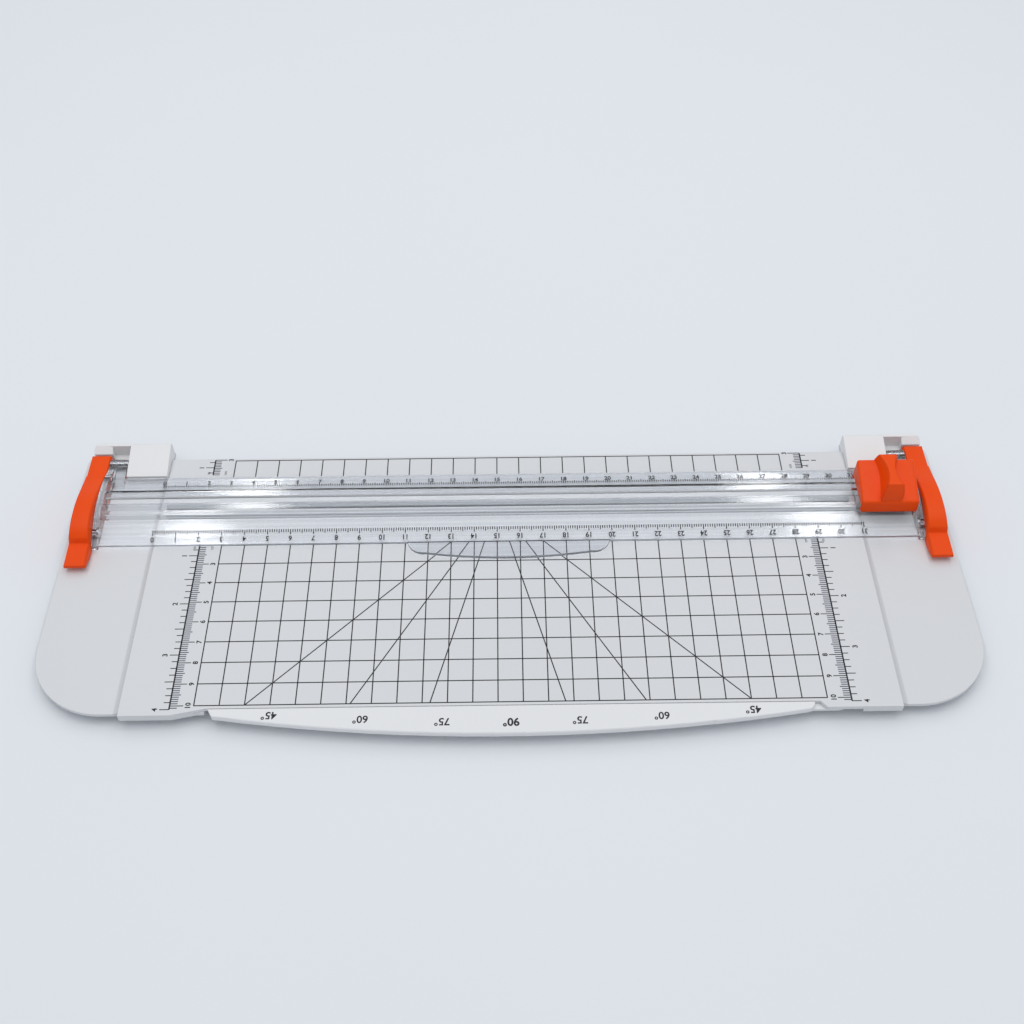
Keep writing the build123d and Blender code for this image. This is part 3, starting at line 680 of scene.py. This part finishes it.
def rail_ruler(side, surface, start, marks, figure_y, turn, bold):
    """Prints one ruler's marks and figures.

    start is the y that every mark begins at, and marks are the lengths, with their sign along y, of those at
    whole centimetres, at halves and at single millimetres.
    """
    ticks = []
    for n in range(RAIL_RULER + 1):
        mark = marks[0] if n % 10 == 0 else marks[1] if n % 5 == 0 else marks[2]
        ticks.append(line(n + RAIL_ZERO, start, n + RAIL_ZERO, start + mark, RAIL_LINE))
    printed(f"rail_{side}_ruler", *bars(ticks), surface, "rail", black_ink)
    labels = []
    for n in range(RAIL_RULER // 10 + 1):
        labels.append((str(n), 10.0 * n + RAIL_ZERO, figure_y, RAIL_FIGURE, turn, bold))
    printed(f"rail_{side}_figures", *figures(labels), surface, "rail", black_ink)


rail_ruler("rear", rail_rear_strip, 12.1, (1.4, 1.4, 1.0), figure_y=14.7, turn=0.0, bold=0.022)
rail_ruler("front", rail_front_slope, -14.1, (-2.3, -1.8, -1.3), figure_y=-18.3, turn=math.pi, bold=0.025)

# %% [markdown]
# ## The arm's angles
# The bowed arm names the slanted lines that end at it. Its figures face away from the user as well, and the
# right angle in the middle is in heavier type.

# %% Arm figures
ANGLES = (("45°", 95.0, -105.0), ("60°", 59.0, -107.2), ("75°", 27.0, -108.7))
ANGLE_FIGURE, ANGLE_BOLD = 3.3, 0.02
RIGHT_ANGLE_FIGURE, RIGHT_ANGLE_BOLD = 3.5, 0.03
arm_labels = []
for text, x, y in ANGLES:
    for side in (-1, 1):
        arm_labels.append((text, side * x, y, ANGLE_FIGURE, math.pi, ANGLE_BOLD))
arm_labels.append(("90°", 0.0, -109.2, RIGHT_ANGLE_FIGURE, math.pi, RIGHT_ANGLE_BOLD))
printed("arm_angle_figures", *figures(arm_labels), table, "arm", black_ink)

# %% [markdown]
# ## Camera
# The view is from the user's side, a little over half way up between level and straight down. Its direction
# is worked out from its elevation and its small turn to the right, and the camera also leans by a fraction
# of a degree. A camera looks along its own -Z, so its axes are right, up and backwards.

# %% Camera
LENS, SENSOR = 43.45, 36.0
FROM_MIDDLE, BEHIND_CUT, OVER_TABLE = -0.0001, 0.3522, 0.4238
elevation, turn, lean = math.radians(50.52), math.radians(0.28), math.radians(-0.50)
level = math.cos(elevation)
forward = Vector((math.sin(turn) * level, math.cos(turn) * level, -math.sin(elevation)))
level_right = Vector((math.cos(turn), -math.sin(turn), 0.0))
level_up = level_right.cross(forward)
right = level_right * math.cos(lean) + level_up * math.sin(lean)
axes = Matrix((right, right.cross(forward), -forward)).transposed()
stand = (FROM_MIDDLE, cut_line - BEHIND_CUT, table_top + OVER_TABLE)
lens = bpy.data.cameras.new("camera")
lens.lens = LENS
lens.sensor_width = SENSOR
camera = bpy.data.objects.new("camera", lens)
camera.matrix_world = Matrix.Translation(stand) @ axes.to_4x4()
bpy.context.scene.collection.objects.link(camera)
bpy.context.scene.camera = camera

# %% [markdown]
# ## Floor and light
# The trimmer stands on a plain pale surface, which is set a twentieth of a millimetre under its feet. The
# light is soft: a bright sky all round, a wide box overhead, and two long narrow boxes that run from above
# the board to behind it. Clear plastic shows its shape only by what it mirrors, and the two narrow boxes
# give the long highlights on the rail.


# %% Floor
FLOOR_HALF, FLOOR_Z = 3, -5e-5


def floor_paint(tree):
    return {
        "Base Color": tree.mix(tree.noise(3.0, 3.0), (0.82, 0.85, 0.89), (0.85, 0.87, 0.91)),
        "Roughness": 0.75 + (tree.noise(40.0, 2.0) - 0.5) * 0.1,
    }


corners = [(FLOOR_HALF * x, FLOOR_HALF * y, FLOOR_Z) for x, y in ((-1, -1), (1, -1), (1, 1), (-1, 1))]
floor_mesh = bpy.data.meshes.new("floor")
floor_mesh.from_pydata(corners, [], [(0, 1, 2, 3)])
floor_mesh.materials.append(finish("floor_paper", {"Specular IOR Level": 0.2}, floor_paint))
floor = bpy.data.objects.new("floor", floor_mesh)
bpy.context.scene.collection.objects.link(floor)


# %% Lights
def soft_box(name, centre, target, wide, long, power):
    """A rectangular lamp at centre that faces target, with its long side as near to +Y as that allows."""
    lamp = bpy.data.lights.new(name, "AREA")
    lamp.shape = "RECTANGLE"
    lamp.size = wide
    lamp.size_y = long
    lamp.energy = power
    box = bpy.data.objects.new(name, lamp)
    back = (Vector(centre) - Vector(target)).normalized()
    sideways = Vector((0.0, 1.0, 0.0)).cross(back).normalized()
    turned_to = Matrix((sideways, back.cross(sideways), back)).transposed()
    box.matrix_world = Matrix.Translation(centre) @ turned_to.to_4x4()
    bpy.context.scene.collection.objects.link(box)


soft_box("left_box", (-0.42, 0.50, 1.15), (-0.1, 0.0, 0.0), wide=0.075, long=1.1, power=1.7)
soft_box("right_box", (0.42, 0.50, 1.15), (0.1, 0.0, 0.0), wide=0.075, long=1.1, power=1.7)
soft_box("top_box", (0.0, -0.1, 1.8), (0.0, 0.0, 0.0), wide=1.6, long=1.2, power=8.6)
sky = bpy.data.worlds.new("sky")
sky.use_nodes = True
background = sky.node_tree.nodes["Background"].inputs
background["Color"].default_value = (0.93, 0.96, 1.0, 1.0)
background["Strength"].default_value = 0.54
bpy.context.scene.world = sky
bpy.context.scene.view_settings.view_transform = "Standard"
